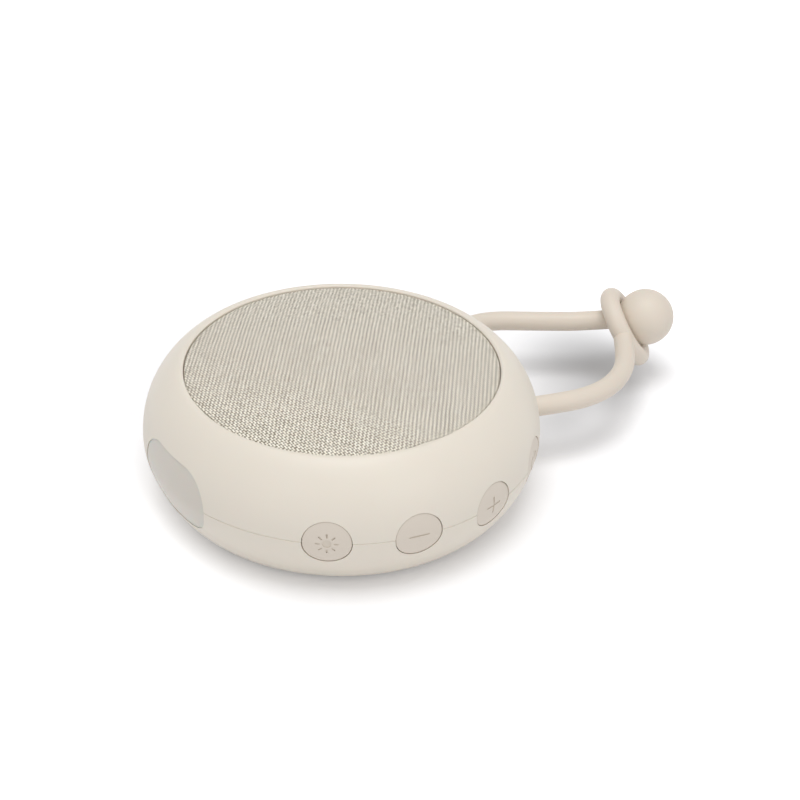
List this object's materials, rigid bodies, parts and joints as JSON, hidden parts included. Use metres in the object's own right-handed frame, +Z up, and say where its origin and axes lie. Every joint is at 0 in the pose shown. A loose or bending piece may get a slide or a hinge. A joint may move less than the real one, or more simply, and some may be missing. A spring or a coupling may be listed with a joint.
{
  "type": "sound machine",
  "caption": "Round pebble-shaped sound machine with a fabric-topped speaker, side push buttons, a night-light window and a ring-and-ball carrying strap.",
  "frame": {"origin": "on the body's axis at the surface it stands on", "axes": "+Z up along the body's axis, the night light looks along -Y, the buttons are on the +X side and the strap leaves towards +Y"},
  "size_m": [0.1, 0.1556, 0.0385],
  "materials": {
    "shell_plastic": "fine satin",
    "grille_cloth": "woven",
    "dark_plastic": "matt",
    "lens_plastic": "translucent, frosted",
    "button_plastic": "satin",
    "switch_stem_plastic": "matt",
    "white_plastic": "matt",
    "board_laminate": "solder mask",
    "plated_steel": "plated",
    "ferrite": "sintered",
    "copper_winding": "enamelled",
    "cone_paper": "pressed paper",
    "spider_cloth": "impregnated cloth",
    "soft_rubber": "matt",
    "lead_insulation": "satin",
    "cell_wrap": "foil pouch",
    "strap_rubber": "satin moulded"
  },
  "bodies": {
    "housing": {"base_foot": "soft_rubber", "battery_cell": "cell_wrap", "battery_leads": "lead_insulation", "battery_pad": "soft_rubber", "board_chips": "dark_plastic", "board_screws": "plated_steel", "bottom_housing": "shell_plastic", "grille_fabric": "grille_cloth", "grille_plate": "dark_plastic", "housing_screws": "plated_steel", "lead_headers": "white_plastic", "lead_plugs": "white_plastic", "light_board": "white_plastic", "light_leads": "lead_insulation", "light_leds": "white_plastic", "light_lens": "lens_plastic", "light_tray": "white_plastic", "main_board": "board_laminate", "speaker_frame": "dark_plastic", "speaker_gasket": "soft_rubber", "speaker_leads": "lead_insulation", "speaker_magnet": "ferrite", "speaker_screws": "plated_steel", "speaker_spider": "spider_cloth", "speaker_surround": "soft_rubber", "speaker_terminals": "copper_winding", "speaker_top_plate": "plated_steel", "speaker_yoke": "plated_steel", "strap_ball": "strap_rubber", "strap_ball_anchor": "strap_rubber", "strap_ball_cord": "strap_rubber", "strap_ring": "strap_rubber", "strap_ring_anchor": "strap_rubber", "strap_ring_cord": "strap_rubber", "switch_bodies": "dark_plastic", "top_housing": "shell_plastic", "usb_shell": "plated_steel", "usb_tongue": "dark_plastic"},
    "light_button": {"light_button": "button_plastic", "light_switch_stem": "switch_stem_plastic"},
    "minus_button": {"minus_button": "button_plastic", "minus_switch_stem": "switch_stem_plastic"},
    "plus_button": {"plus_button": "button_plastic", "plus_switch_stem": "switch_stem_plastic"},
    "power_button": {"power_button": "button_plastic", "power_switch_stem": "switch_stem_plastic"},
    "speaker_cone": {"speaker_cone": "cone_paper", "speaker_dust_cap": "cone_paper", "voice_coil": "copper_winding"}
  },
  "joints": [
    {"name": "light_push", "type": "slide", "parent": "housing", "child": "light_button", "axis": [-0.7997, 0.6004, 0], "range_m": [0, 0.0005], "stiffness_N_per_m": 1500},
    {"name": "minus_push", "type": "slide", "parent": "housing", "child": "minus_button", "axis": [-0.9796, 0.2011, 0], "range_m": [0, 0.0005], "stiffness_N_per_m": 1500},
    {"name": "plus_push", "type": "slide", "parent": "housing", "child": "plus_button", "axis": [-0.9715, -0.2368, 0], "range_m": [0, 0.0005], "stiffness_N_per_m": 1500},
    {"name": "power_push", "type": "slide", "parent": "housing", "child": "power_button", "axis": [-0.7771, -0.6293, 0], "range_m": [0, 0.0005], "stiffness_N_per_m": 1500},
    {"name": "cone_travel", "type": "slide", "parent": "housing", "child": "speaker_cone", "axis": [0, 0, 1], "range_m": [-0.001, 0.001], "stiffness_N_per_m": 1700, "deforming": ["speaker_surround", "speaker_spider"]}
  ]
}
